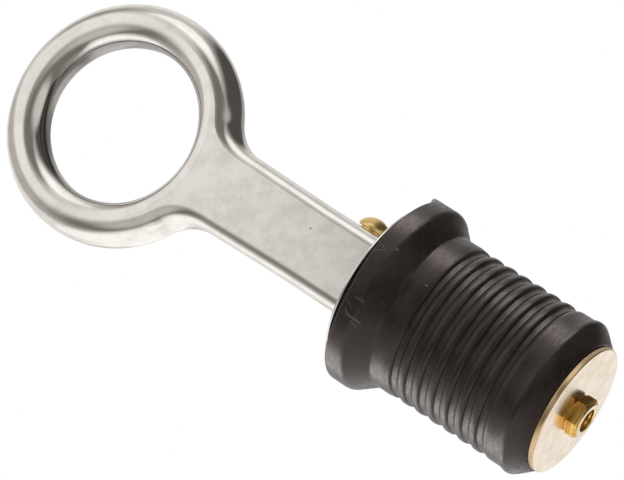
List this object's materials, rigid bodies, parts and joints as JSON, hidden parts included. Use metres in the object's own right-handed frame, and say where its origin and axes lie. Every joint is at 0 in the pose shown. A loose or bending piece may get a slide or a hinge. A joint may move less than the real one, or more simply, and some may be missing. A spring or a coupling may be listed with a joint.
{
  "type": "expansion plug",
  "caption": "Rubber expansion drain plug on a brass stud, with a stamped ring handle whose cams squeeze the rubber as it folds down.",
  "frame": {"origin": "on the plug's axis where the rubber barrel meets the flare of its head", "axes": "+Z along the axis from the lower end to the finger ring, X along the pivot pin with its domed head at +X, -Y the side that the handle's flat face looks to"},
  "size_m": [0.0371, 0.0294, 0.1029],
  "materials": {
    "rubber": "satin moulded black rubber",
    "stainless": "tumbled stainless steel",
    "brass": "plain turned brass"
  },
  "bodies": {
    "plug": {"rubber_plug": "rubber", "top_washer": "stainless"},
    "stud": {"eye_stud": "brass", "end_washer": "brass", "lock_nut": "brass"},
    "handle": {"handle": "stainless", "pivot_pin": "brass"}
  },
  "joints": [
    {"name": "stud_lift", "type": "slide", "parent": "plug", "child": "stud", "axis": [0, 0, 1], "range_m": [0, 0.003], "deforming": ["rubber_plug"]},
    {"name": "handle_fold", "type": "hinge", "parent": "stud", "child": "handle", "pos_m": [0, 0, 0.01298], "axis": [-1, 0, 0], "range_deg": [0, 90]}
  ],
  "couplings": [
    {"joint": "stud_lift", "follows": "handle_fold", "m_per_rad": 0.0019}
  ]
}
